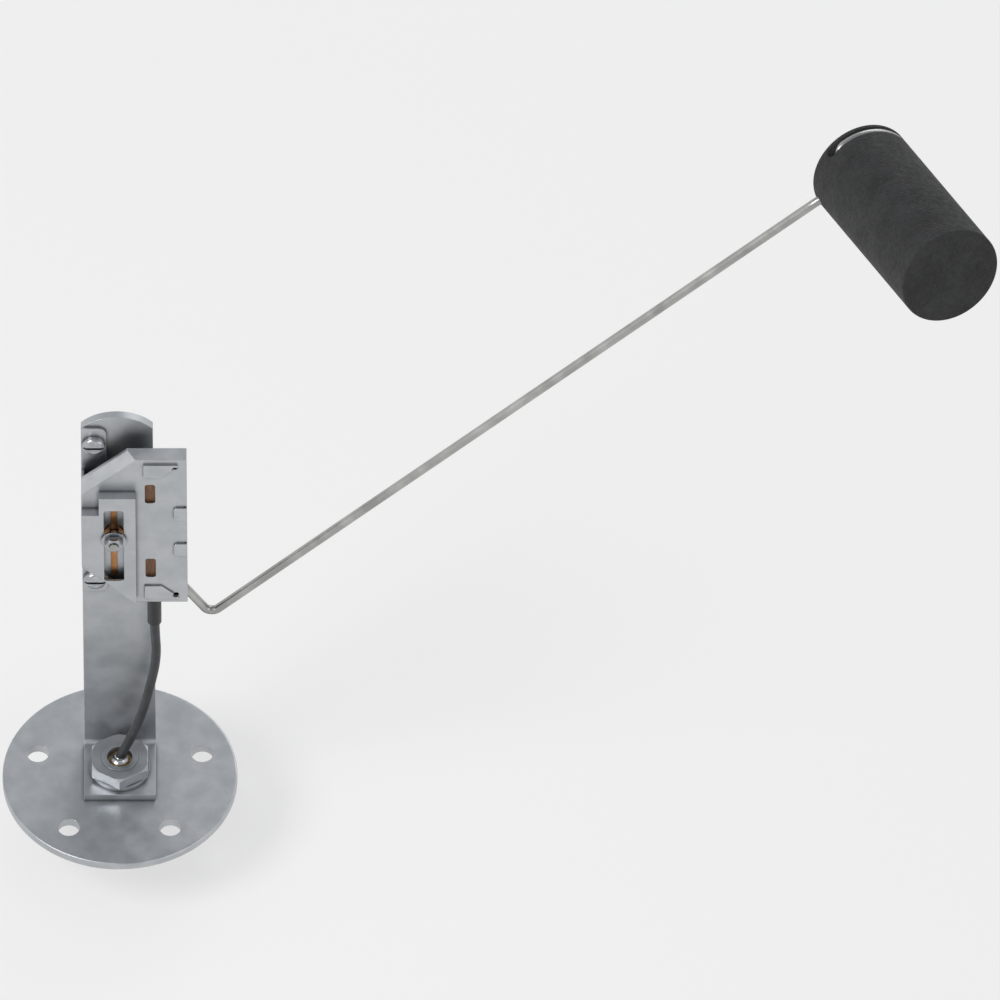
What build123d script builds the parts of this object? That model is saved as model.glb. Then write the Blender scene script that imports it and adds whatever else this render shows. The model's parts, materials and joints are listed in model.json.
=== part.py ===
from build123d import *
from math import cos, radians, sin, sqrt, tan
import os

# Fuel sending unit, as it stands on its flange.
# Millimetres. Z is up from the face of the flange that goes inside the tank,
# X is to the right and Y points away from the front of the sender.

# Flange
flange_diameter = 73.4
flange_thickness = 3.0
flange_edge = 0.5
bolt_circle = 54.0
bolt_count = 5
bolt_hole = 6.8
first_bolt_angle = 18.0

# Angle post that carries the sender
post_width = 22.3
post_thickness = 2.6
post_bend_radius = 1.6
foot_front = -10.8
post_front = 11.2
post_end_margin = 6.0
post_crown = 5.2

# Feedthrough that clamps the foot and carries the terminal
feed_diameter = 11.5
feed_bore = 8.0
feed_head_diameter = 19.0
feed_head_height = 2.6
feed_head_chamfer = 0.6
feed_stand_out = 0.2
feed_nut_flats = 17.5
feed_nut_height = 4.1
feed_nut_chamfer = 0.7
feed_washer_diameter = 18.8
feed_washer_thickness = 1.6
feed_recess = 2.6
stud_diameter = 5.0
stud_end_diameter = 4.0
stud_end_length = 11.5
stud_cup_diameter = 6.2
stud_cup_height = 1.6
stud_chamfer = 0.5
insulator_diameter = 15.0
insulator_thickness = 2.4
insulator_chamfer = 0.4
stud_washer_diameter = 10.0
stud_washer_thickness = 1.0
stud_nut_flats = 8.0
stud_nut_height = 4.0
stud_nut_chamfer = 0.5
stud_thread_run = 0.6

# Sender housing
sheet = 0.9
middle_height = 114.4
arm_gap = 4.3
housing_depth = 5.0
housing_right = 21.6
front_knee = 5.7
back_knee = 3.2
panel_half_height = 33.7
front_left_half_height = 17.4
back_left_half_height = 19.8
panel_slot = (3.2, 8.8)
panel_slot_corner = 0.9
panel_slot_x = 10.2
panel_slot_rise = 17.6
clip_size = (4.1, 5.8)
clip_corner = 0.9
clip_rise = 8.5
clip_thickness = 0.7

# Raised tongues at the panel's two ends
press_height = 0.7
press_left = 8.2
press_knee = 13.5
press_right = 18.8
press_margin = 1.9
press_tall = 6.1
press_end = 0.9
press_hole = 1.8
press_hole_x = 18.0

# Clamp strip on the post
strip_width = 7.9
strip_half_height = 38.8
strip_corner = 2.8
clamp_rise = 32.0
clamp_screw = 3.5
clamp_head_diameter = 7.0
clamp_head_height = 2.4
clamp_head_round = 1.4
clamp_slot = (0.9, 0.8)
clamp_nut_flats = 6.0
clamp_nut_height = 2.8
clamp_nut_chamfer = 0.5
clamp_thread_end = 1.0

# Raised pivot cover
cover_depth = 3.3
cover_sheet = 0.8
cover_step_x = -5.7
cover_top = 19.0
cover_left_top = 11.0
cover_slope_drop = 2.2
cover_slope = 1.15
cover_slot_width = 6.2
cover_slot_corner = 1.0
cover_slot_top = 13.3
cover_slot_margin = 13.7
spring_width = 1.8
spring_end_round = 0.7
spring_overrun = 1.0
spring_thickness = 0.4
spring_eye = 6.0

# Float arm, bent from one wire
arm_diameter = 2.8
pivot_x = -1.1
stub_angle = -58.1
stub_length = 56.2
arm_angle = 46.15
arm_length = 271.8
pivot_bend = 2.1
stub_bend = 2.8
float_bend = 9.0
hook_bend = 4.0
tip_bend = 3.0
tip_leg = 3.5
hook_turn = 115.3
shaft_end = 3.6
pivot_nut_flats = 5.0
pivot_nut_height = 2.2
pivot_nut_chamfer = 0.4
pivot_washer_diameter = 7.7
pivot_washer_thickness = 0.8
swing = 90.0

# Float
float_diameter = 32.4
float_length = 64.4
float_axis = Vector(0.425, -0.876, 0.227).normalized()
float_cross = Vector(0.859, 0.470, 0.203)
hook_from_end = 3.2
float_edge = 0.8

# Resistor and wiper
card_thickness = 1.0
card_left = 6.8
card_side_gap = 0.4
card_end_gap = 3.2
card_corner = 1.0
track_radius = 17.0
track_width = 1.8
track_thickness = 0.15
track_overrun = 3.0
wiper_width = 2.6
wiper_thickness = 0.3
contact_diameter = 1.6
contact_height = 0.5
wiper_eye_margin = 0.3
rotor_diameter = 9.0
rotor_boss = 6.0
bush_diameter = 4.6
bush_flange = 6.4
bush_flange_thickness = 0.5
tab_width = 2.0
tab_thickness = 0.3
stop_radius = 20.0
stop_size = (4.0, 1.5)

# Lead
lead_diameter = 3.0
sleeve_diameter = 4.4
sleeve_length = 12.0
lead_x = 11.2
lead_entry = 1.4
lead_end_rise = 0.65
lead_bend_share = 0.45

# Clearances, each on the radius or on one side
fit = 0.05
free_fit = 0.1
slack = 0.3
overrun = 1.0  # how far a cutting tool runs past the face that it cuts

# Levels that follow from the sizes
housing_back = post_front - arm_gap
housing_front = housing_back - housing_depth
leaf_front = housing_back - sheet
inside_front = housing_front + sheet
cover_front = housing_front - cover_depth
post_left = -post_width / 2
post_back = post_front + post_thickness
post_shoulder = middle_height + clamp_rise + post_end_margin
post_crest = post_shoulder + post_crown
nut_seat = post_thickness + feed_washer_thickness
feed_top = nut_seat + feed_nut_height + feed_stand_out
head_bottom = -flange_thickness - feed_head_height
insulator_bottom = head_bottom - insulator_thickness
arm_radius = arm_diameter / 2
lead_y = (inside_front + leaf_front) / 2
housing_bottom = middle_height - panel_half_height
card_half_height = panel_half_height - card_end_gap
cover_slot_bottom = cover_slot_margin - panel_half_height
pivot_washer_seat = cover_front - free_fit
pivot_nut_seat = pivot_washer_seat - pivot_washer_thickness
stud_washer_bottom = insulator_bottom - stud_washer_thickness
stud_nut_bottom = stud_washer_bottom - stud_nut_height


def xz_plane(y):
    """The plane at depth y that faces the front, with X to the right and Z up."""
    return Plane.XZ.offset(-y)


def xz_slab(sketch, front, back):
    """A flat piece with the outline of the sketch, from one depth to another."""
    return extrude(xz_plane(back) * sketch, back - front)


def xz_rod(diameter, x, z, front, back):
    """A round rod along Y."""
    return xz_slab(Pos(x, z) * Circle(diameter / 2), front, back)


def rod(diameter, bottom, top):
    """A round rod along Z on the flange's axis."""
    return extrude(Plane.XY.offset(bottom) * Circle(diameter / 2), top - bottom)


def hex_nut(flats, height, bore, corner_cut, turn=0):
    """A hex nut on the XY plane, its top corners turned down by a cone."""
    corner = flats / sqrt(3)
    body = extrude(RegularPolygon(flats / 2, 6, major_radius=False, rotation=turn), height)
    cone = Cylinder(corner + fit, height, align=(Align.CENTER, Align.CENTER, Align.MIN))
    cone = chamfer(cone.edges().group_by(Axis.Z)[-1], corner_cut, 1.6 * corner_cut)
    return (body & cone) - Cylinder(bore / 2, height * 3)


def washer(outer, inner, thickness):
    ring = Circle(outer / 2) - Circle(inner / 2)
    return extrude(ring, thickness)


def sector(reach, start, end):
    """A wedge of under 180 degrees that covers every circle well inside the reach."""
    middle = (start + end) / 2
    return Polygon((0, 0), *[polar(reach, angle) for angle in (start, middle, end)], align=None)


def at_front(x, z, y, piece):
    """Carries a piece made upwards on XY to a point, with its top facing the front."""
    return Plane(origin=(x, y, z), x_dir=(1, 0, 0), z_dir=(0, -1, 0)) * piece


def make_flange():
    plate = rod(flange_diameter, -flange_thickness, 0)
    plate = fillet(plate.edges().filter_by(GeomType.CIRCLE), flange_edge)
    for place in PolarLocations(bolt_circle / 2, bolt_count, start_angle=first_bolt_angle):
        plate -= place * Cylinder(bolt_hole / 2, flange_thickness * 3)
    return plate - Cylinder(feed_diameter / 2 + free_fit, flange_thickness * 4)


def make_post():
    """The foot and the upright, one strip bent once and rounded at its top."""
    corners = [
        (foot_front, 0), (post_back, 0), (post_back, post_crest), (post_front, post_crest),
        (post_front, post_thickness), (foot_front, post_thickness),
    ]
    profile = Polygon(*corners, align=None)
    outer = profile.vertices().sort_by_distance((post_back, 0))[0]
    profile = fillet(outer, post_bend_radius + post_thickness)
    inner = profile.vertices().sort_by_distance((post_front, post_thickness))[0]
    profile = fillet(inner, post_bend_radius)
    strip = extrude(Plane.YZ * profile, post_width / 2, both=True)
    right = post_width / 2
    outline = make_face(
        [
            Line((-right, 0), (right, 0)),
            Line((right, 0), (right, post_shoulder)),
            ThreePointArc((right, post_shoulder), (0, post_crest), (-right, post_shoulder)),
            Line((-right, post_shoulder), (-right, 0)),
        ]
    )
    strip = strip & xz_slab(outline, foot_front - overrun, post_back + overrun)
    strip -= Cylinder(feed_diameter / 2 + free_fit, post_thickness * 3)
    for x, z in clamp_points():
        strip -= xz_rod(clamp_screw + 2 * fit, x, z, post_front - overrun, post_back + overrun)
    return strip


def clamp_points():
    x = post_left + strip_width / 2
    return [(x, middle_height + clamp_rise), (x, middle_height - clamp_rise)]


def make_feed_body():
    """Threaded tube with a round head outside the tank."""
    body = rod(feed_head_diameter, head_bottom, -flange_thickness)
    body = chamfer(body.edges().group_by(Axis.Z)[0], feed_head_chamfer)
    body += rod(feed_diameter, -flange_thickness, feed_top)
    return body - rod(feed_bore, head_bottom - overrun, feed_top + overrun)


def make_feed_insulator():
    """Moulded sleeve in the tube, with a wide flange under its head."""
    sleeve = rod(feed_bore - 2 * fit, head_bottom, feed_top - feed_recess)
    sleeve += rod(insulator_diameter, insulator_bottom, head_bottom)
    sleeve = chamfer(sleeve.edges().group_by(Axis.Z)[0], insulator_chamfer)
    return sleeve - rod(stud_diameter + 2 * fit, insulator_bottom - overrun, feed_top)


def make_stud():
    """Terminal stud: solder cup inside, fixing thread, and a thinner end for the tank wiring."""
    seat = feed_top - feed_recess
    step = stud_nut_bottom - stud_thread_run
    end = rod(stud_end_diameter, step - stud_end_length, step)
    end = chamfer(end.edges().group_by(Axis.Z)[0], stud_chamfer)
    return end + rod(stud_diameter, step, seat) + rod(stud_cup_diameter, seat, seat + stud_cup_height)


def housing_outline(knee, left_half_height):
    """A panel at the right that narrows to the post's left edge."""
    high = panel_half_height
    low = left_half_height
    points = [
        (post_left, -low), (knee, -high), (housing_right, -high),
        (housing_right, high), (knee, high), (post_left, low),
    ]
    return Pos(0, middle_height) * Polygon(*points, align=None)


def front_outline():
    return housing_outline(front_knee, front_left_half_height)


def back_outline():
    return housing_outline(back_knee, back_left_half_height)


def inset(outline, amount):
    return offset(outline, -amount, kind=Kind.INTERSECTION)


def make_bracket():
    """One folded sheet: the strip on the post, the web at its edge and the housing's back."""
    leaf = xz_slab(back_outline(), leaf_front, housing_back)
    leaf -= xz_rod(bush_diameter, pivot_x, middle_height, leaf_front - overrun, housing_back + overrun)
    web = Pos(post_left, leaf_front, middle_height) * Box(
        sheet, post_front - leaf_front, 2 * back_left_half_height, align=(Align.MIN, Align.MIN, Align.CENTER)
    )
    strip = Pos(strip_width / 2, 0) * Rectangle(strip_width, 2 * strip_half_height)
    right_corners = strip.vertices().group_by(Axis.X)[-1]
    strip = Pos(post_left, middle_height) * fillet(right_corners, strip_corner)
    bracket = leaf + web + xz_slab(strip, post_front - sheet, post_front)
    for x, z in clamp_points():
        bracket -= xz_rod(clamp_screw + 2 * fit, x, z, post_front - sheet - overrun, post_front + overrun)
    for sign in (-1, 1):
        bracket += make_clip(middle_height + sign * clip_rise)
    for angle, side in ((stub_angle, -1), (stub_angle + swing, 1)):
        bracket += make_stop(angle, side)
    return bracket


def make_clip(z):
    """A tongue of the back sheet, folded through a notch in the panel's edge and over its front."""
    width, height = clip_size
    front = housing_front - clip_thickness
    fold = Pos(housing_right, front, z) * Box(
        clip_thickness, housing_back - front, height, align=(Align.MAX, Align.MIN, Align.CENTER)
    )
    flap = Pos(housing_right - width / 2, z) * Rectangle(width, height)
    flap = fillet(flap.vertices().group_by(Axis.X)[0], clip_corner)
    return fold + xz_slab(flap, front, housing_front)


def make_stop(angle, side):
    """A lanced tab behind the housing that the arm comes up against."""
    length, thickness = stop_size
    offset_out = side * (arm_radius + slack + thickness / 2)
    tab = Pos(stop_radius, offset_out) * Rectangle(length, thickness)
    depth = stub_depth() + arm_radius - housing_back
    return xz_slab(Pos(pivot_x, middle_height) * Rot(0, 0, angle) * tab, housing_back - fit, housing_back + depth)


def stub_depth():
    """Depth of the arm's swing plane, midway between the housing and the post."""
    return (housing_back + post_front) / 2


def make_housing():
    """Pressed cover: front panel, side walls that flare towards the back, slots and tongues."""
    shell = loft([xz_plane(leaf_front) * back_outline(), xz_plane(housing_front) * front_outline()], ruled=True)
    shell -= loft(
        [xz_plane(leaf_front) * inset(back_outline(), sheet), xz_plane(inside_front) * inset(front_outline(), sheet)],
        ruled=True,
    )
    slot_width, slot_height = panel_slot
    slot = RectangleRounded(slot_width, slot_height, panel_slot_corner)
    for sign in (-1, 1):
        shell += make_tongue(sign)
        relief = panel_half_height - press_margin - press_end - (press_right - press_hole_x)
        shell -= xz_rod(
            press_hole, press_hole_x, middle_height + sign * relief,
            housing_front - press_height - overrun, inside_front + fit,
        )
        place = Pos(panel_slot_x, middle_height + sign * panel_slot_rise)
        shell -= xz_slab(place * slot, housing_front - overrun, inside_front + fit)
        shell -= make_clip_notch(middle_height + sign * clip_rise)
    shell -= xz_rod(bush_diameter, pivot_x, middle_height, housing_front - overrun, inside_front + fit)
    lead_hole = rod(lead_diameter + 2 * fit, housing_bottom - overrun, housing_bottom + 2 * sheet)
    return shell - Pos(lead_x, lead_y) * lead_hole


def make_clip_notch(z):
    """Room for a clip in the right wall and the panel's edge."""
    depth = sheet + fit
    return Pos(housing_right - depth, housing_front - overrun, z) * Box(
        depth + overrun, leaf_front - housing_front + overrun, clip_size[1] + 2 * slack,
        align=(Align.MIN, Align.MIN, Align.CENTER),
    )


def make_tongue(sign):
    """A shallow raised tongue at the panel's end; a relief hole goes through its slanting edge."""
    far = panel_half_height - press_margin
    near = far - press_tall
    points = [
        (press_left, near), (press_knee, near), (press_right, far - press_end),
        (press_right, far), (press_left, far),
    ]
    outline = Polygon(*[(x, sign * z) for x, z in points], align=None)
    return xz_slab(Pos(0, middle_height) * outline, housing_front - press_height, housing_front)


def cover_outline():
    low_right = -panel_half_height + cover_slope_drop
    low_left = low_right + cover_slope * (front_knee - post_left)
    points = [
        (post_left, low_left), (front_knee, low_right), (front_knee, cover_top),
        (cover_step_x, cover_top), (cover_step_x, cover_left_top), (post_left, cover_left_top),
    ]
    return Pos(0, middle_height) * Polygon(*points, align=None)


def make_cover():
    """Raised cover over the pivot, open at its back, with the long slot."""
    cover = xz_slab(cover_outline(), cover_front, housing_front)
    cover -= xz_slab(inset(cover_outline(), cover_sheet), cover_front + cover_sheet, housing_front)
    slot = RectangleRounded(cover_slot_width, cover_slot_top - cover_slot_bottom, cover_slot_corner)
    place = Pos(pivot_x, middle_height + (cover_slot_top + cover_slot_bottom) / 2)
    return cover - xz_slab(place * slot, cover_front - overrun, cover_front + 2 * cover_sheet)


def make_ground_spring():
    """Flat strip inside the cover with an eye round the pivot."""
    length = cover_slot_top - cover_slot_bottom + 2 * spring_overrun
    middle = (cover_slot_top + cover_slot_bottom) / 2
    shape = Pos(0, middle) * RectangleRounded(spring_width, length, spring_end_round)
    shape += Circle(spring_eye / 2)
    shape -= Circle(arm_radius + slack)
    return xz_slab(Pos(pivot_x, middle_height) * shape, housing_front - spring_thickness, housing_front)


def make_bush(mouth, inward):
    """Flanged bush in one sheet; inward is the Y direction of its flange."""
    bore = arm_diameter + 2 * fit
    barrel_back = mouth - inward * sheet
    barrel = (min(mouth, barrel_back), max(mouth, barrel_back))
    edge = mouth + inward * bush_flange_thickness
    flange = (min(mouth, edge), max(mouth, edge))
    bush = xz_rod(bush_diameter, pivot_x, middle_height, *barrel)
    bush += xz_rod(bush_flange, pivot_x, middle_height, *flange)
    return bush - xz_rod(bore, pivot_x, middle_height, housing_front - overrun, housing_back + overrun)


def make_card():
    """Resistor card behind the panel."""
    right = housing_right - sheet - card_side_gap
    shape = RectangleRounded(right - card_left, 2 * card_half_height, card_corner)
    place = Pos((card_left + right) / 2, middle_height)
    return xz_slab(place * shape, inside_front, inside_front + card_thickness)


def make_track():
    """Resistor track, an arc about the pivot printed on the card's back."""
    half_turn = swing / 2 + track_overrun
    ring = Circle(track_radius + track_width / 2) - Circle(track_radius - track_width / 2)
    wedge = sector(2 * track_radius, -half_turn, half_turn)
    back = inside_front + card_thickness
    return xz_slab(Pos(pivot_x, middle_height) * (ring & wedge), back, back + track_thickness)


def make_lead_tab():
    """Brass strip from the track's lower end to the lead."""
    top = middle_height - track_radius * sin(radians(swing / 2)) - contact_diameter
    bottom = housing_bottom + lead_entry + free_fit
    back = inside_front + card_thickness
    strip = Pos(lead_x, (top + bottom) / 2) * Rectangle(tab_width, top - bottom)
    return xz_slab(strip, back, back + tab_thickness)


def wiper_levels():
    """Depths of the wiper strip's two faces."""
    back = inside_front + card_thickness + track_thickness + fit + contact_height
    return back, back + wiper_thickness


def make_rotor():
    """Moulded hub on the pivot that carries the wiper."""
    front, back = wiper_levels()
    start = inside_front + bush_flange_thickness + free_fit
    end = leaf_front - bush_flange_thickness - free_fit
    rotor = xz_rod(rotor_boss, pivot_x, middle_height, start, back)
    rotor += xz_rod(rotor_diameter, pivot_x, middle_height, back, end)
    return rotor - xz_rod(arm_diameter + 2 * fit, pivot_x, middle_height, start - overrun, end + overrun)


def make_wiper():
    """Spring strip from the rotor to the track, at the low end of its sweep."""
    shape = Circle(rotor_diameter / 2 - wiper_eye_margin)
    shape += Pos(track_radius / 2, 0) * Rectangle(track_radius, wiper_width)
    shape += Pos(track_radius, 0) * Circle(wiper_width / 2)
    shape -= Circle(rotor_boss / 2 + fit)
    front, back = wiper_levels()
    return xz_slab(Pos(pivot_x, middle_height) * Rot(0, 0, -swing / 2) * shape, front, back)


def make_contact():
    """Contact button under the wiper's tip."""
    front, back = wiper_levels()
    turn = radians(-swing / 2)
    x = pivot_x + track_radius * cos(turn)
    z = middle_height + track_radius * sin(turn)
    return xz_rod(contact_diameter, x, z, inside_front + card_thickness + track_thickness + fit, front)


def arm_corners():
    """Pivot, bend below the housing, and the point where the arm enters the float."""
    y = stub_depth()
    stub = radians(stub_angle)
    arm = radians(arm_angle)
    pivot = Vector(pivot_x, y, middle_height)
    bend = pivot + Vector(cos(stub), 0, sin(stub)) * stub_length
    entry = bend + Vector(cos(arm), 0, sin(arm)) * arm_length
    return pivot, bend, entry


def hook_plane():
    """Plane of the hook round the float: X along the wire through the float, Z along the float."""
    along = float_axis
    across = (float_cross - along * float_cross.dot(along)).normalized()
    entry = arm_corners()[2]
    return Plane(origin=entry + across * (float_diameter / 2), x_dir=across, z_dir=along)


def hook_radius():
    return float_diameter / 2 - arm_radius - free_fit


def make_wire(radius):
    """The arm's wire with the given radius: pivot, stub, long arm, run through the float and hook."""
    pivot, bend, entry = arm_corners()
    plane = hook_plane()
    wrap = hook_radius()
    reach = sqrt((wrap - hook_bend) ** 2 - hook_bend ** 2)
    tip_reach = sqrt((wrap - tip_bend) ** 2 - tip_bend ** 2)
    front = Vector(pivot.X, cover_front - shaft_end, pivot.Z)
    lead_in = plane.from_local_coords(Vector(reach, 0, 0))
    run = FilletPolyline(front, pivot, bend, entry, lead_in, radius=[pivot_bend, stub_bend, float_bend])
    first = centre_turn(reach, hook_bend, 0, 1)
    last = centre_turn(tip_reach, tip_bend, hook_turn, -1)
    middle_angle = (first[3] + last[3]) / 2
    middle = Vector(wrap * cos(radians(middle_angle)), wrap * sin(radians(middle_angle)))
    tip = polar(tip_reach - tip_leg, hook_turn)
    hook = [
        ThreePointArc(first[0], first[1], first[2]),
        ThreePointArc(first[2], middle, last[2]),
        ThreePointArc(last[2], last[1], last[0]),
        Line(last[0], tip),
    ]
    path = Wire(run.edges() + [plane.from_local_coords(edge) for edge in hook])
    section = Plane(origin=front, z_dir=(0, 1, 0)) * Circle(radius)
    return sweep(section, path=path)


def polar(distance, angle):
    return Vector(distance * cos(radians(angle)), distance * sin(radians(angle)))


def centre_turn(reach, bend, angle, side):
    """Arc from a spoke at the given angle onto the hook's circle.

    Gives its start on the spoke, its middle, its end on the circle and that end's angle.
    """
    wrap = hook_radius()
    spoke = polar(1, angle)
    normal = polar(1, angle + side * 90)
    centre = spoke * reach + normal * bend
    end = centre.normalized() * wrap
    start = spoke * reach
    between = ((start - centre).normalized() + (end - centre).normalized()).normalized()
    lean = asin_degrees(bend / (wrap - bend))
    return start, centre + between * bend, end, angle + side * lean


def asin_degrees(value):
    return Vector(sqrt(1 - value * value), value).get_angle(Vector(1, 0))


def make_float():
    """Closed-cell float with a cross hole, a groove round its edge and a hole for the wire's tip."""
    plane = hook_plane()
    body = Pos(0, 0, -hook_from_end) * Cylinder(
        float_diameter / 2, float_length, align=(Align.CENTER, Align.CENTER, Align.MIN)
    )
    body = fillet(body.edges().filter_by(GeomType.CIRCLE), float_edge)
    first = asin_degrees(hook_bend / (hook_radius() - hook_bend)) / 2
    ring = (Circle(float_diameter) - Circle(hook_radius())) & sector(2 * float_diameter, first, hook_turn)
    body -= extrude(ring, arm_radius + free_fit, both=True)
    return plane * body - make_wire(arm_radius + free_fit)


def make_sleeve():
    """Insulating sleeve on the lead, under the housing."""
    tube = Cylinder(sleeve_diameter / 2, sleeve_length, align=(Align.CENTER, Align.CENTER, Align.MAX))
    tube -= Cylinder(lead_diameter / 2 + fit, sleeve_length * 3)
    return Pos(lead_x, lead_y, housing_bottom) * tube


def make_lead():
    """The lead from inside the housing down to the stud's cup, straight runs with tangent arcs."""
    cup_top = feed_top - feed_recess + stud_cup_height
    points = [
        (lead_x, lead_y, housing_bottom + lead_entry),
        (lead_x, lead_y, 65.5),
        (11.9, 3.8, 52.0),
        (9.4, 2.4, 38.0),
        (6.6, 1.2, 25.5),
        (2.6, 0.3, 14.5),
        (0.0, 0.0, cup_top + lead_end_rise),
    ]
    corners = [Vector(*point) for point in points]
    radii = []
    for before, corner, after in zip(corners, corners[1:], corners[2:]):
        turn = (corner - before).get_angle(after - corner)
        shorter = min((corner - before).length, (after - corner).length)
        radii.append(lead_bend_share * shorter / tan(radians(turn / 2)))
    print("lead radii", [round(radius) for radius in radii])
    path = FilletPolyline(*corners, radius=radii)
    section = Plane(origin=corners[0], z_dir=corners[1] - corners[0]) * Circle(lead_diameter / 2)
    print("lead length", round(path.length, 1))
    return sweep(section, path=path)


def make_clamp_screw(x, z):
    """Round-headed screw through the strip and the post."""
    seat = post_front - sheet
    head = Cylinder(clamp_head_diameter / 2, clamp_head_height, align=(Align.CENTER, Align.CENTER, Align.MIN))
    head = fillet(head.edges().group_by(Axis.Z)[-1], clamp_head_round)
    slot_width, slot_depth = clamp_slot
    head -= Pos(0, 0, clamp_head_height) * Box(clamp_head_diameter, slot_width, 2 * slot_depth)
    length = post_back + clamp_nut_height + clamp_thread_end - seat
    shank = Cylinder(clamp_screw / 2, length, align=(Align.CENTER, Align.CENTER, Align.MAX))
    return at_front(x, z, seat, head + shank)


def make_clamp_nut(x, z):
    nut = hex_nut(clamp_nut_flats, clamp_nut_height, clamp_screw + 2 * fit, clamp_nut_chamfer)
    return Plane(origin=(x, post_back, z), x_dir=(-1, 0, 0), z_dir=(0, 1, 0)) * nut


parts = {
    "flange_plate": make_flange(),
    "angle_post": make_post(),
    "feedthrough_body": make_feed_body(),
    "feedthrough_washer": Pos(0, 0, post_thickness) * washer(
        feed_washer_diameter, feed_diameter + 2 * free_fit, feed_washer_thickness
    ),
    "feedthrough_nut": Pos(0, 0, nut_seat) * hex_nut(
        feed_nut_flats, feed_nut_height, feed_diameter + 2 * fit, feed_nut_chamfer, 30
    ),
    "feedthrough_insulator": make_feed_insulator(),
    "terminal_stud": make_stud(),
    "terminal_washer": Pos(0, 0, stud_washer_bottom) * washer(
        stud_washer_diameter, stud_diameter + 2 * fit, stud_washer_thickness
    ),
    "terminal_nut": Pos(0, 0, stud_nut_bottom) * hex_nut(
        stud_nut_flats, stud_nut_height, stud_diameter + 2 * fit, stud_nut_chamfer
    ),
    "sender_bracket": make_bracket(),
    "bracket_screws": Compound(children=[make_clamp_screw(x, z) for x, z in clamp_points()]),
    "bracket_nuts": Compound(children=[make_clamp_nut(x, z) for x, z in clamp_points()]),
    "housing_cover": make_housing(),
    "pivot_cover": make_cover(),
    "ground_spring": make_ground_spring(),
    "front_bush": make_bush(inside_front, 1),
    "rear_bush": make_bush(leaf_front, -1),
    "resistor_card": make_card(),
    "resistor_track": make_track(),
    "lead_tab": make_lead_tab(),
    "lead_sleeve": make_sleeve(),
    "lead_cable": make_lead(),
    "float_arm": make_wire(arm_radius),
    "float": make_float(),
    "wiper_rotor": make_rotor(),
    "wiper_spring": make_wiper(),
    "wiper_contact": make_contact(),
    "pivot_washer": at_front(pivot_x, middle_height, pivot_washer_seat, washer(
        pivot_washer_diameter, arm_diameter + 2 * fit, pivot_washer_thickness
    )),
    "pivot_nut": at_front(pivot_x, middle_height, pivot_nut_seat, hex_nut(
        pivot_nut_flats, pivot_nut_height, arm_diameter + 2 * fit, pivot_nut_chamfer
    )),
}

os.makedirs("parts", exist_ok=True)
for name, shape in parts.items():
    export_step(shape, f"parts/{name}.step")
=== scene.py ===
import bmesh
import bpy
import json
import math
import numpy as np
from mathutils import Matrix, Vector


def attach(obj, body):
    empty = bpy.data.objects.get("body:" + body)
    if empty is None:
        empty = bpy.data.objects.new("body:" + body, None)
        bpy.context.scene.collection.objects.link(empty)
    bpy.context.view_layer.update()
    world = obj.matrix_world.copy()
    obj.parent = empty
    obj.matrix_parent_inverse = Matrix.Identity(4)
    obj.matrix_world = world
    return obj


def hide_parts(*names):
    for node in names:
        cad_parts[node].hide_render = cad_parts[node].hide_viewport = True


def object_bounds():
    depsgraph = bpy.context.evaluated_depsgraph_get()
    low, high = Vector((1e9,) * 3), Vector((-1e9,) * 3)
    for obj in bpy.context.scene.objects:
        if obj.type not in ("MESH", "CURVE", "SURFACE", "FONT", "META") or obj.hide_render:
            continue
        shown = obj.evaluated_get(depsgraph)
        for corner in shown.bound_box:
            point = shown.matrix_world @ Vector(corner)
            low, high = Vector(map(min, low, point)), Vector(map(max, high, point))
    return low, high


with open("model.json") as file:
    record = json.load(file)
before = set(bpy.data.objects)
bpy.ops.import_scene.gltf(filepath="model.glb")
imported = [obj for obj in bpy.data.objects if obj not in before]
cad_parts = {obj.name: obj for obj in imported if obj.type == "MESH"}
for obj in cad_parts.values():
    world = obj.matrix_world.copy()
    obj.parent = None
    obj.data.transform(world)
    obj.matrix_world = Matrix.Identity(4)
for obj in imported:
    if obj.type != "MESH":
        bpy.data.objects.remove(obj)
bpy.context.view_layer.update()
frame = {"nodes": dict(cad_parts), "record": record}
mm = 0.001
print("frame loaded:", len(frame["nodes"]), "nodes")


# Colours and nodes

def linearColour(hexText):
    # each channel of the sRGB hex is turned to linear light
    values = [int(hexText[i:i + 2], 16) / 255 for i in (0, 2, 4)]
    return tuple(v / 12.92 if v <= 0.04045 else ((v + 0.055) / 1.055) ** 2.4 for v in values) + (1.0,)


def addNode(tree, kind, settings=None, inputs=None):
    node = tree.nodes.new(kind)
    for key, value in (settings or {}).items():
        setattr(node, key, value)
    for key, value in (inputs or {}).items():
        if isinstance(value, bpy.types.NodeSocket):
            tree.links.new(value, node.inputs[key])
        else:
            node.inputs[key].default_value = value
    return node


def newMaterial(name):
    material = bpy.data.materials.new(name)
    material.use_nodes = True
    tree = material.node_tree
    tree.nodes.clear()
    coords = addNode(tree, "ShaderNodeTexCoord").outputs["Object"]
    return material, tree, coords


def finishMaterial(tree, inputs):
    shader = addNode(tree, "ShaderNodeBsdfPrincipled", inputs=inputs)
    addNode(tree, "ShaderNodeOutputMaterial", inputs={"Surface": shader.outputs[0]})


def noise(tree, coords, sizeMm, detail=3.0, roughness=0.55):
    # one cloud of the noise is about sizeMm across
    return addNode(tree, "ShaderNodeTexNoise", inputs={
        "Vector": coords, "Scale": 1000 / sizeMm, "Detail": detail, "Roughness": roughness,
    }).outputs["Fac"]


def stretch(tree, coords, scale, turn=(0.0, 0.0, 0.0)):
    # a pattern is drawn out along each axis whose scale is below 1
    return addNode(tree, "ShaderNodeMapping", inputs={
        "Vector": coords, "Rotation": turn, "Scale": scale,
    }).outputs[0]


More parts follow.
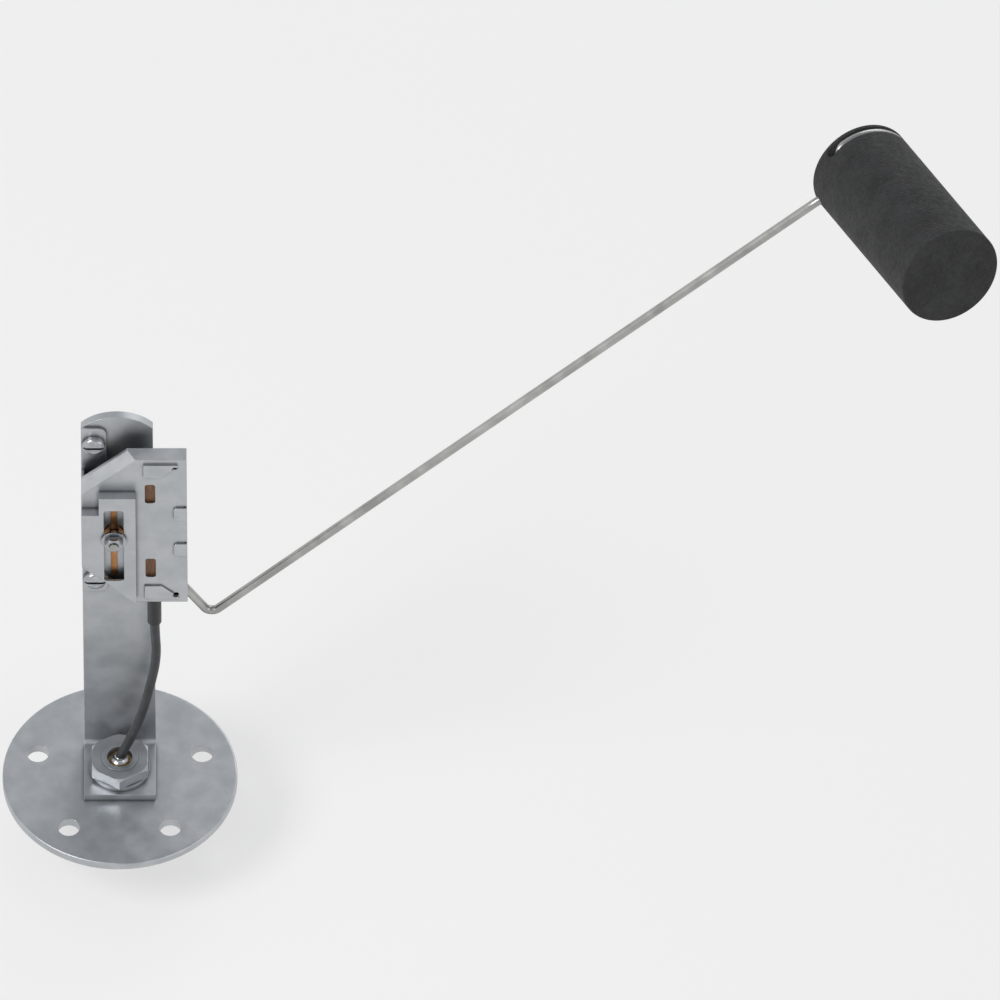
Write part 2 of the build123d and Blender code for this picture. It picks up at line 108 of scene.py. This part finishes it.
def spread(tree, value, low, high, outLow, outHigh):
    return addNode(tree, "ShaderNodeMapRange", inputs={
        "Value": value, "From Min": low, "From Max": high, "To Min": outLow, "To Max": outHigh,
    }).outputs["Result"]


def cloudyRoughness(tree, clouds, smooth, rough):
    # noise lies mostly between 0.3 and 0.7, and that range is spread over the two roughnesses
    return spread(tree, clouds, 0.3, 0.7, smooth, rough)


def twoColours(tree, value, first, second, low=0.35, high=0.65):
    ramp = addNode(tree, "ShaderNodeValToRGB", inputs={"Fac": value})
    ramp.color_ramp.elements[0].position = low
    ramp.color_ramp.elements[0].color = linearColour(first)
    ramp.color_ramp.elements[1].position = high
    ramp.color_ramp.elements[1].color = linearColour(second)
    return ramp.outputs["Color"]


def multiplied(tree, first, second, share):
    # sockets 0, 6 and 7 of a colour Mix are its share and its two colours, and output 2 is the colour
    settings = {"data_type": "RGBA", "blend_type": "MULTIPLY"}
    return addNode(tree, "ShaderNodeMix", settings, {0: share, 6: first, 7: second}).outputs[2]


def bump(tree, height, distanceMm, strength, normal=None):
    inputs = {"Height": height, "Distance": distanceMm * mm, "Strength": strength}
    if normal is not None:
        inputs["Normal"] = normal
    return addNode(tree, "ShaderNodeBump", inputs=inputs).outputs["Normal"]


def roundedEdges(tree, radiusMm):
    # the bright line that a deburred edge catches
    return addNode(tree, "ShaderNodeBevel", {"samples": 6}, {"Radius": radiusMm * mm}).outputs["Normal"]


def paintedCreaseShade(tree, colour, reachMm, depth):
    # painted crease shade: ambient occlusion darkens the colour where sheets meet, falling to depth of itself in
    # a crease
    inCrease, inOpen = 0.35, 0.9
    shade = addNode(tree, "ShaderNodeAmbientOcclusion", {"samples": 8}, {"Distance": reachMm * mm})
    share = spread(tree, shade.outputs["AO"], inCrease, inOpen, depth, 1.0)
    grey = addNode(tree, "ShaderNodeCombineColor", inputs={"Red": share, "Green": share, "Blue": share})
    return multiplied(tree, colour, grey.outputs[0], 1.0)


# Materials

def makeZincPlate():
    # bright zinc plate on rolled steel sheet: cloudy satin grey with faint rolling lines
    look = {
        "dark": "B2B5B8", "light": "BFC1C4", "smooth": 0.36, "rough": 0.45, "cloudMm": 7.0,
        "rollMm": 0.25, "rollScale": (1.0, 1.0, 0.04), "rollDepthMm": 0.03, "rollBump": 0.25,
        "grainMm": 0.5, "grainDepthMm": 0.02, "grainBump": 0.35,
        "edgeMm": 0.3, "paintedShadeReachMm": 1.6, "paintedShadeDepth": 0.35,
    }
    material, tree, coords = newMaterial("brightZincPlate")
    clouds = noise(tree, coords, look["cloudMm"])
    rolling = noise(tree, stretch(tree, coords, look["rollScale"]), look["rollMm"], detail=2.0)
    rolled = bump(tree, rolling, look["rollDepthMm"], look["rollBump"], roundedEdges(tree, look["edgeMm"]))
    grain = noise(tree, coords, look["grainMm"])
    colour = twoColours(tree, clouds, look["dark"], look["light"])
    finishMaterial(tree, {
        # the base colour carries painted shade in its creases
        "Base Color": paintedCreaseShade(tree, colour, look["paintedShadeReachMm"], look["paintedShadeDepth"]),
        "Metallic": 1.0,
        "Roughness": cloudyRoughness(tree, clouds, look["smooth"], look["rough"]),
        "Normal": bump(tree, grain, look["grainDepthMm"], look["grainBump"], rolled),
    })
    return material


def makeFastenerSteel():
    # zinc-plated turned and pressed steel, a little brighter than the sheet
    look = {
        "dark": "9FA2A6", "light": "BDBFC1", "smooth": 0.2, "rough": 0.33, "cloudMm": 2.5,
        "grainMm": 0.4, "grainDepthMm": 0.02, "grainBump": 0.3,
        "edgeMm": 0.2, "paintedShadeReachMm": 1.2, "paintedShadeDepth": 0.35,
    }
    material, tree, coords = newMaterial("zincPlatedSteel")
    clouds = noise(tree, coords, look["cloudMm"])
    grain = noise(tree, coords, look["grainMm"])
    colour = twoColours(tree, clouds, look["dark"], look["light"])
    edges = roundedEdges(tree, look["edgeMm"])
    finishMaterial(tree, {
        # the base colour carries painted shade in its creases
        "Base Color": paintedCreaseShade(tree, colour, look["paintedShadeReachMm"], look["paintedShadeDepth"]),
        "Metallic": 1.0,
        "Roughness": cloudyRoughness(tree, clouds, look["smooth"], look["rough"]),
        "Normal": bump(tree, grain, look["grainDepthMm"], look["grainBump"], edges),
    })
    return material


def makeDrawnWire():
    # stainless wire from a die: fine lines along it, drawn as coarse as they need to show
    look = {
        "dark": "9A9A98", "light": "B4B4B1", "smooth": 0.24, "rough": 0.36, "cloudMm": 9.0,
        "armDeg": 46.15, "lineScale": (0.03, 1.0, 1.0), "lineMm": 0.35, "lineDepthMm": 0.03, "lineBump": 0.4,
        "paintedShadeReachMm": 1.2, "paintedShadeDepth": 0.45,
    }
    material, tree, coords = newMaterial("drawnStainlessWire")
    armTurn = (0.0, math.radians(look["armDeg"]), 0.0)  # the long arm's slope at rest
    lines = noise(tree, stretch(tree, coords, look["lineScale"], armTurn), look["lineMm"], detail=2.0)
    clouds = noise(tree, coords, look["cloudMm"])
    colour = twoColours(tree, clouds, look["dark"], look["light"])
    finishMaterial(tree, {
        # the base colour carries painted shade in its creases
        "Base Color": paintedCreaseShade(tree, colour, look["paintedShadeReachMm"], look["paintedShadeDepth"]),
        "Metallic": 1.0,
        "Roughness": cloudyRoughness(tree, clouds, look["smooth"], look["rough"]),
        "Normal": bump(tree, lines, look["lineDepthMm"], look["lineBump"]),
    })
    return material


def makeSoftMetal(name, dark, light, smooth):
    # turned brass, rolled bronze or soft solder, with a slightly duller skin in patches
    look = {"cloudMm": 3.0, "roughRange": 0.12, "grainMm": 0.3, "grainDepthMm": 0.015, "grainBump": 0.3,
            "edgeMm": 0.15}
    material, tree, coords = newMaterial(name)
    clouds = noise(tree, coords, look["cloudMm"])
    grain = noise(tree, coords, look["grainMm"])
    edges = roundedEdges(tree, look["edgeMm"])
    finishMaterial(tree, {
        "Base Color": twoColours(tree, clouds, dark, light),
        "Metallic": 1.0,
        "Roughness": cloudyRoughness(tree, clouds, smooth, smooth + look["roughRange"]),
        "Normal": bump(tree, grain, look["grainDepthMm"], look["grainBump"], edges),
    })
    return material


def makeMoulded(name, dark, light, smooth, grainMm, grainDepthMm):
    # moulded or extruded plastic: even colour, soft highlight and a faint grain
    look = {"cloudMm": 4.0, "roughRange": 0.1, "grainBump": 0.4}
    material, tree, coords = newMaterial(name)
    clouds = noise(tree, coords, look["cloudMm"])
    finishMaterial(tree, {
        "Base Color": twoColours(tree, clouds, dark, light),
        "Roughness": cloudyRoughness(tree, clouds, smooth, smooth + look["roughRange"]),
        "Normal": bump(tree, noise(tree, coords, grainMm), grainDepthMm, look["grainBump"]),
    })
    return material


def makeCardBoard():
    # phenolic paper board: brown, with fibres that run up the card
    look = {"dark": "5E3A1E", "light": "8A5A32", "fibreScale": (1.0, 1.0, 0.1), "fibreMm": 0.5,
            "fibreDepthMm": 0.02, "fibreBump": 0.3, "roughness": 0.4}
    material, tree, coords = newMaterial("phenolicPaperBoard")
    fibres = noise(tree, stretch(tree, coords, look["fibreScale"]), look["fibreMm"])
    finishMaterial(tree, {
        "Base Color": twoColours(tree, fibres, look["dark"], look["light"]),
        "Roughness": look["roughness"],
        "Normal": bump(tree, fibres, look["fibreDepthMm"], look["fibreBump"]),
    })
    return material


def makeNitrileFoam():
    # closed-cell nitrile rubber foam: matte black skin pitted by cut cells about 0.5 mm wide,
    # drawn at 0.9 mm to show, with painted shade darkening the bottom of each pit
    look = {
        "dark": "252526", "light": "333334", "smooth": 0.62, "rough": 0.82, "specular": 0.4, "mouldMm": 9.0,
        "fineMm": 1.6, "fineDepthMm": 0.15, "fineBump": 0.3, "edgeMm": 0.6,
        "cellMm": 0.9, "pitShadeColour": "0E0E0E", "pitShadeShare": 0.55, "pitShadeEnds": (0.05, 0.34),
        "pitEnds": (0.1, 0.6), "pitDepthMm": 0.16, "pitBump": 0.8,
    }
    material, tree, coords = newMaterial("closedCellNitrileFoam")
    cells = addNode(tree, "ShaderNodeTexVoronoi", {"feature": "F1"}, {
        "Vector": coords, "Scale": 1000 / look["cellMm"], "Randomness": 1.0,
    }).outputs["Distance"]
    clouds = noise(tree, coords, look["mouldMm"], detail=4.0)
    fine = noise(tree, coords, look["fineMm"], detail=4.0)
    skin = twoColours(tree, clouds, look["dark"], look["light"])
    # painted shade: the colour darkens towards each cell's centre, where its pit is deepest
    paintedPitShade = twoColours(tree, cells, look["pitShadeColour"], "FFFFFF", *look["pitShadeEnds"])
    pits = spread(tree, cells, *look["pitEnds"], 0.0, 1.0)
    normal = bump(tree, fine, look["fineDepthMm"], look["fineBump"], roundedEdges(tree, look["edgeMm"]))
    finishMaterial(tree, {
        # the skin colour is multiplied by the painted pit shade
        "Base Color": multiplied(tree, skin, paintedPitShade, look["pitShadeShare"]),
        "Roughness": cloudyRoughness(tree, fine, look["smooth"], look["rough"]),
        "Specular IOR Level": look["specular"],
        "Normal": bump(tree, pits, look["pitDepthMm"], look["pitBump"], normal),
    })
    return material


zincPlate = makeZincPlate()
brass = makeSoftMetal("turnedBrass", "A98445", "C9A45E", 0.22)
bronze = makeSoftMetal("rolledPhosphorBronze", "9C6A42", "BE8A5C", 0.3)
solder = makeSoftMetal("softSolder", "A8AAAC", "C9CBCC", 0.18)
fastenerSteel = makeFastenerSteel()
drawnWire = makeDrawnWire()
cardBoard = makeCardBoard()
foam = makeNitrileFoam()
nylon = makeMoulded("mouldedNylon", "D8D5C8", "E4E1D6", 0.4, 0.6, 0.02)
trackFilm = makeMoulded("printedResistorFilm", "161616", "232323", 0.45, 0.3, 0.01)
blackSleeve = makeMoulded("shrunkPlasticSleeve", "151515", "202020", 0.35, 0.8, 0.02)
leadJacket = makeMoulded("extrudedLeadJacket", "26282B", "34363A", 0.3, 0.9, 0.02)

slotMaterials = {
    "zinc_plate": zincPlate, "steel_fastener": fastenerSteel, "steel_wire": drawnWire, "brass": brass,
    "spring_bronze": bronze, "white_nylon": nylon, "card_board": cardBoard, "track_film": trackFilm,
    "black_sleeve": blackSleeve, "lead_jacket": leadJacket, "float_foam": foam,
}
for part in frame["record"]["subparts"]:
    mesh = frame["nodes"][part["node"]].data
    mesh.materials.clear()
    mesh.materials.append(slotMaterials[part["material_slot"]])
print("materials assigned")


# Lead

def addObject(name, data):
    made = bpy.data.objects.new(name, data)
    bpy.context.collection.objects.link(made)
    return made


def makeLead():
    # one open NURBS spline from inside the housing to the solder cup
    look = {
        "diameterMm": 3.0, "lengthM": 0.0758, "roundSteps": 8, "routeSteps": 24,
        "routeMm": [
            (11.2, 4.4, 82.1), (11.2, 4.4, 65.5), (11.9, 3.8, 52.0), (9.4, 2.4, 38.0),
            (6.6, 1.2, 25.5), (2.6, 0.3, 14.5), (0.0, 0.0, 8.15),
        ],
    }
    curve = bpy.data.curves.new("leadCable", "CURVE")
    curve.dimensions = "3D"
    curve.bevel_depth = look["diameterMm"] / 2 * mm
    curve.bevel_resolution = look["roundSteps"]
    curve.resolution_u = look["routeSteps"]
    curve.use_fill_caps = True
    spline = curve.splines.new("NURBS")
    spline.points.add(len(look["routeMm"]) - 1)
    for point, place in zip(spline.points, look["routeMm"]):
        point.co = (*[value * mm for value in place], 1.0)
    spline.order_u = 3
    spline.use_endpoint_u = True
    curve.materials.append(leadJacket)
    lead = addObject("leadCable", curve)
    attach(lead, "sender_base")
    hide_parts("lead_cable")


makeLead()
print("lead made")


# Turned, soldered and pressed pieces

def addMesh(name, vertices, faces, material, body, smooth=True):
    mesh = bpy.data.meshes.new(name)
    mesh.from_pydata(vertices.tolist(), [], faces)
    mesh.polygons.foreach_set("use_smooth", np.full(len(mesh.polygons), smooth))
    mesh.materials.append(material)
    mesh.update()
    piece = addObject(name, mesh)
    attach(piece, body)
    return piece


def rework(source, target, work):
    # the source mesh goes through bmesh, where work changes it, into the target mesh
    shell = bmesh.new()
    shell.from_mesh(source)
    work(shell)
    shell.to_mesh(target)
    shell.free()


def readArray(items, field, width=1, kind=np.float64):
    # one field of a mesh's items, as rows of width numbers, or flat where width is 1
    values = np.empty(len(items) * width, dtype=kind)
    items.foreach_get(field, values)
    return values.reshape(-1, width) if width > 1 else values


def ringQuads(rows, columns):
    # four-cornered faces between neighbouring rings, each ring closed on itself
    row, column = np.meshgrid(np.arange(rows - 1), np.arange(columns), indexing="ij")
    here = row * columns + column
    beside = row * columns + (column + 1) % columns
    return np.stack([here, beside, beside + columns, here + columns], axis=-1).reshape(-1, 4).tolist()


def turnedGrid(heights, radii, columns, threadDepth=0.0, pitch=1.0):
    # radius at height z and angle a = the profile's radius
    # - threadDepth * (1 - the distance of z / pitch - a / turn from a whole number, times two)
    angles = np.arange(columns) * 2 * np.pi / columns
    angleGrid, heightGrid = np.meshgrid(angles, heights)
    phase = heightGrid / pitch - angleGrid / (2 * np.pi)
    flank = 1 - 2 * np.abs(phase - np.round(phase))
    radiusGrid = radii[:, None] - threadDepth * flank
    rows = len(heights)
    ring = np.stack([radiusGrid * np.cos(angleGrid), radiusGrid * np.sin(angleGrid), heightGrid], axis=-1)
    poles = np.array([[0.0, 0.0, heights[0]], [0.0, 0.0, heights[-1]]])
    vertices = np.concatenate([ring.reshape(-1, 3), poles])
    first = np.arange(columns)
    second = (first + 1) % columns
    lowPole = rows * columns
    lowFan = np.stack([np.full(columns, lowPole), second, first], axis=-1).tolist()
    top = (rows - 1) * columns
    topFan = np.stack([np.full(columns, lowPole + 1), top + first, top + second], axis=-1).tolist()
    return vertices * mm, ringQuads(rows, columns) + lowFan + topFan


def makeTerminalStud():
    # turned brass stud: threaded end for the tank wiring, fixing thread and solder cup
    look = {
        "endMm": 4.0, "shankMm": 5.0, "cupMm": 6.2, "pitchMm": 0.7, "depthMm": 0.36, "chamferMm": 0.5,
        "lowMm": -25.1, "stepMm": -13.6, "seatMm": 5.9, "topMm": 7.5, "shoulderMm": 0.15, "rimMm": 0.2,
        "rowsPerPitch": 10, "columns": 64,
    }
    low, step, seat, top = look["lowMm"], look["stepMm"], look["seatMm"], look["topMm"]
    rows = int((step - low) / look["pitchMm"] * look["rowsPerPitch"])
    threaded = np.linspace(low, step, rows)
    # the crest's radius, less a chamfer that fades out above the low end
    fade = 1 - np.clip((threaded - low) / look["chamferMm"], 0, 1)
    nominal = look["endMm"] / 2 - look["chamferMm"] * fade
    vertices, faces = turnedGrid(threaded, nominal, look["columns"], look["depthMm"], look["pitchMm"])
    end = addMesh("terminalStudThread", vertices, faces, brass, "sender_base")
    shank, cup, shoulder, rim = look["shankMm"] / 2, look["cupMm"] / 2, look["shoulderMm"], look["rimMm"]
    heights = np.array([step, step + shoulder, seat, seat, seat + shoulder, top - rim, top])
    radii = np.array([shank - shoulder, shank, shank, cup - shoulder, cup, cup, cup - rim])
    vertices, faces = turnedGrid(heights, radii, look["columns"])
    body = addMesh("terminalStud", vertices, faces, brass, "sender_base", smooth=False)
    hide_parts("terminal_stud")
    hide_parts("terminal_stud")


def makeSolderFillet():
    # meniscus of solder between the cup's rim and the lead: from the rim's radius to the neck's,
    # by a power of the height that is left, which makes it hollow
    look = {"rimMm": 2.8, "neckMm": 1.62, "baseMm": 7.46, "topMm": 8.9, "power": 2.2, "rows": 14, "columns": 48}
    risen = np.linspace(0, 1, look["rows"])
    radii = look["neckMm"] + (look["rimMm"] - look["neckMm"]) * (1 - risen) ** look["power"]
    heights = look["baseMm"] + (look["topMm"] - look["baseMm"]) * risen
    vertices, faces = turnedGrid(heights, radii, look["columns"])
    addMesh("solderFillet", vertices, faces, solder, "sender_base")


def makeLowerTongue():
    # the panel's lower pressed tongue, the upper one's mirror image: a rim profile (inset, height)
    # carried round the outline, with a bite out of the slanting edge for the relief hole
    look = {
        "leftMm": 8.2, "kneeMm": 13.5, "rightMm": 18.8, "nearMm": -25.7, "farMm": -31.8, "endMm": 0.9,
        "holeMm": (18.0, -30.1), "holeRadiusMm": 0.95, "holeSteps": 13, "middleMm": 114.4, "panelYMm": 1.9,
        "rim": ((0.0, -0.05), (0.0, 0.5), (0.06, 0.63), (0.2, 0.7)),
    }
    left, knee, right, near, far = (look[side + "Mm"] for side in ("left", "knee", "right", "near", "far"))
    slant = np.array([right - knee, far + look["endMm"] - near])
    slant /= np.linalg.norm(slant)
    inward = np.array([slant[1], -slant[0]])  # from the slanting edge into the tongue
    turn = np.linspace(np.pi, 0, look["holeSteps"])[:, None]
    bite = np.array(look["holeMm"]) + look["holeRadiusMm"] * (np.cos(turn) * slant + np.sin(turn) * inward)
    outline = np.concatenate([
        [(left, near), (knee, near)], bite, [(right, far + look["endMm"]), (right, far), (left, far)],
    ])
    # at each corner, the inward direction that keeps both its edges at the same inset
    after = np.roll(outline, -1, axis=0) - outline
    after /= np.linalg.norm(after, axis=1, keepdims=True)
    before = np.roll(after, 1, axis=0)
    normals = np.stack([after[:, 1] + before[:, 1], -after[:, 0] - before[:, 0]], axis=1)
    normals /= (1 + np.sum(after * before, axis=1))[:, None]
    rim = np.array(look["rim"])
    rings = outline[None] + rim[:, 0, None, None] * normals[None]
    depth = np.broadcast_to((look["panelYMm"] - rim[:, 1])[:, None], rings.shape[:2])
    vertices = np.stack([rings[..., 0], depth, rings[..., 1] + look["middleMm"]], axis=-1).reshape(-1, 3) * mm
    count = len(outline)
    base = list(range(count))
    top = [index + (len(rim) - 1) * count for index in base]
    faces = ringQuads(len(rim), count) + [base[::-1], top]
    piece = addMesh("lowerPanelTongue", vertices, faces, zincPlate, "sender_base", smooth=False)
    rework(piece.data, piece.data, lambda shell: bmesh.ops.recalc_face_normals(shell, faces=shell.faces))


def keepRoundSide(mesh, look):
    # faces of the round side are shaded along their radius, so the hole's corners leave no streaks on it
    along = np.array(look["along"]) / np.linalg.norm(look["along"])
    corners = readArray(mesh.loops, "vertex_index", kind=np.int32)
    shading = readArray(mesh.corner_normals, "vector", 3)
    facing = readArray(mesh.polygons, "normal", 3)
    starts = readArray(mesh.polygons, "loop_start", kind=np.int32)
    counts = readArray(mesh.polygons, "loop_total", kind=np.int32)
    away = readArray(mesh.vertices, "co", 3) / mm - np.array(look["centreMm"])
    away -= np.outer(away @ along, along)
    reach = np.linalg.norm(away, axis=1)
    onRound = np.abs(reach[corners] - look["radiusMm"]) < look["toleranceMm"]
    upright = np.abs(facing @ along) < look["leanMost"]
    sides = np.logical_and.reduceat(onRound, starts) & upright
    mine = np.repeat(sides, counts)
    shading[mine] = away[corners[mine]] / reach[corners[mine], None]
    mesh.normals_split_custom_set(shading.tolist())
    print("float faces kept round:", int(sides.sum()), "of", len(sides))


def makeFloat():
    # the float with the round hole that takes the wire's tip: a turned cutter, its axis carried to the
    # spoke from the float's centre line by a rotation, is taken out of a merged copy of the solid
    look = {
        "centreMm": (230.814, 16.656, 265.989), "along": (0.425, -0.876, 0.227), "radiusMm": 16.2,
        "spoke": (-0.6245, -0.1023, 0.7743), "holeMm": 3.7, "fromMm": 11.0, "toMm": 17.4, "columns": 40,
        "mergeMm": 0.001, "sliverMm": 0.002, "creaseDeg": 32.0, "toleranceMm": 0.05, "leanMost": 0.2,
    }
    heights = np.array([look["fromMm"], look["toMm"]])
    vertices, faces = turnedGrid(heights, np.full(2, look["holeMm"] / 2), look["columns"])
    turn = Vector((0, 0, 1)).rotation_difference(Vector(look["spoke"]))
    placed = vertices @ np.array(turn.to_matrix()).T + np.array(look["centreMm"]) * mm
    cutterMesh = bpy.data.meshes.new("tipHoleCutter")
    cutterMesh.from_pydata(placed.tolist(), [], faces)
    cutter = addObject("tipHoleCutter", cutterMesh)
    merged = bpy.data.meshes.new("floatMerged")
    rework(frame["nodes"]["float"].data, merged, lambda shell: bmesh.ops.remove_doubles(
        shell, verts=shell.verts, dist=look["mergeMm"] * mm))
    body = addObject("floatBody", merged)
    drill = body.modifiers.new("tipHole", "BOOLEAN")
    drill.object = cutter
    drill.operation = "DIFFERENCE"
    drill.solver = "EXACT"
    bpy.context.view_layer.update()
    cut = bpy.data.meshes.new_from_object(body.evaluated_get(bpy.context.evaluated_depsgraph_get()))
    rework(cut, cut, lambda shell: bmesh.ops.dissolve_degenerate(
        shell, edges=shell.edges, dist=look["sliverMm"] * mm))
    body.modifiers.clear()
    body.data = cut
    bpy.data.objects.remove(cutter)
    bpy.data.meshes.remove(cutterMesh)
    bpy.data.meshes.remove(merged)
    cut.name = "floatBody"
    cut.shade_smooth()
    cut.set_sharp_from_angle(angle=math.radians(look["creaseDeg"]))
    keepRoundSide(cut, look)
    cut.materials.clear()
    cut.materials.append(foam)
    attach(body, "swing_arm")
    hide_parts("float")


makeTerminalStud()
makeSolderFillet()
makeLowerTongue()
makeFloat()
print("turned, soldered and pressed pieces made")


# Camera

def makeCamera():
    # a long lens far away stands in for the drawing's parallel view
    look = {"elevation": 49.38, "fieldWidthM": 0.31023, "lensMm": 1500.0, "sensorMm": 36.0,
            "targetM": (0.11869, 0.00832, 0.12177), "nearestM": 0.1, "farthestM": 200.0}
    elevation = math.radians(look["elevation"])
    distance = look["fieldWidthM"] * look["lensMm"] / look["sensorMm"]
    data = bpy.data.cameras.new("photoCamera")
    data.lens = look["lensMm"]
    data.sensor_width = look["sensorMm"]
    data.sensor_fit = "HORIZONTAL"
    data.clip_start = look["nearestM"]
    data.clip_end = look["farthestM"]
    camera = addObject("photoCamera", data)
    back = Vector((0.0, -math.cos(elevation), math.sin(elevation)))
    camera.location = Vector(look["targetM"]) + back * distance
    camera.rotation_euler = (math.pi / 2 - elevation, 0.0, 0.0)
    bpy.context.scene.camera = camera


makeCamera()


# Lights, world and floor

def makeLights():
    # each lamp is a round panel aimed at the target
    targetM = Vector((0.1, 0.0, 0.12))
    look = {
        "keyLight": {"placeM": (-0.75, -0.45, 1.0), "sizeM": 0.6, "watts": 6.8},
        "fillLight": {"placeM": (1.05, -0.6, 0.6), "sizeM": 0.9, "watts": 1.6},
        "backLight": {"placeM": (0.5, 1.1, 0.7), "sizeM": 0.8, "watts": 2.4},
    }
    for name, lamp in look.items():
        data = bpy.data.lights.new(name, "AREA")
        data.shape = "DISK"
        data.size = lamp["sizeM"]
        data.energy = lamp["watts"]
        light = addObject(name, data)
        light.location = lamp["placeM"]
        light.rotation_euler = (targetM - Vector(lamp["placeM"])).to_track_quat("-Z", "Y").to_euler()


def seenOrMirrored(tree):
    # 1 for camera, transmission and glossy rays, 0 for the rays that light the object
    rays = addNode(tree, "ShaderNodeLightPath").outputs
    larger = {"operation": "MAXIMUM"}
    seen = addNode(tree, "ShaderNodeMath", larger, {
        0: rays["Is Camera Ray"], 1: rays["Is Transmission Ray"],
    }).outputs[0]
    return addNode(tree, "ShaderNodeMath", larger, {0: seen, 1: rays["Is Glossy Ray"]}).outputs[0]


def makeWorld():
    # white at the horizon and greyer overhead where it is seen or mirrored, softer as a lamp
    look = {"horizon": "FFFFFF", "overhead": "B0B4B8", "skyEnds": (0.05, 0.9), "lamp": "F4F6F8",
            "lampStrength": 0.5}
    world = bpy.data.worlds.new("studioWorld")
    world.use_nodes = True
    tree = world.node_tree
    tree.nodes.clear()
    direction = addNode(tree, "ShaderNodeTexCoord").outputs["Generated"]
    height = addNode(tree, "ShaderNodeSeparateXYZ", inputs={"Vector": direction}).outputs["Z"]
    sky = twoColours(tree, height, look["horizon"], look["overhead"], *look["skyEnds"])
    lamp = addNode(tree, "ShaderNodeBackground", inputs={
        "Color": linearColour(look["lamp"]), "Strength": look["lampStrength"],
    }).outputs[0]
    shown = addNode(tree, "ShaderNodeBackground", inputs={"Color": sky, "Strength": 1.0}).outputs[0]
    mixed = addNode(tree, "ShaderNodeMixShader", inputs={0: seenOrMirrored(tree), 1: lamp, 2: shown})
    addNode(tree, "ShaderNodeOutputWorld", inputs={"Surface": mixed.outputs[0]})
    bpy.context.scene.world = world


def makeFloor():
    # a white sweep: where it is seen or mirrored, a share of its light is its own, and the rest keeps the shadow
    look = {"halfM": 6.0, "dropM": 0.0002, "colour": "F2F2F0", "glow": "FFFFFF", "ownLight": 0.55}
    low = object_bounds()[0][2] - look["dropM"]
    corners = [(x * look["halfM"], y * look["halfM"], low) for x, y in ((-1, -1), (1, -1), (1, 1), (-1, 1))]
    mesh = bpy.data.meshes.new("floor")
    mesh.from_pydata(corners, [], [(0, 1, 2, 3)])
    material, tree = newMaterial("paleFloor")[:2]
    matte = addNode(tree, "ShaderNodeBsdfDiffuse", inputs={"Color": linearColour(look["colour"])}).outputs[0]
    glow = addNode(tree, "ShaderNodeEmission", inputs={
        "Color": linearColour(look["glow"]), "Strength": 1.0,
    }).outputs[0]
    share = addNode(tree, "ShaderNodeMath", {"operation": "MULTIPLY"}, {
        0: seenOrMirrored(tree), 1: look["ownLight"],
    }).outputs[0]
    mixed = addNode(tree, "ShaderNodeMixShader", inputs={0: share, 1: matte, 2: glow})
    addNode(tree, "ShaderNodeOutputMaterial", inputs={"Surface": mixed.outputs[0]})
    mesh.materials.append(material)
    addObject("floor", mesh)


makeLights()
makeWorld()
makeFloor()
bpy.context.scene.view_settings.view_transform = "Standard"
print("stage made")
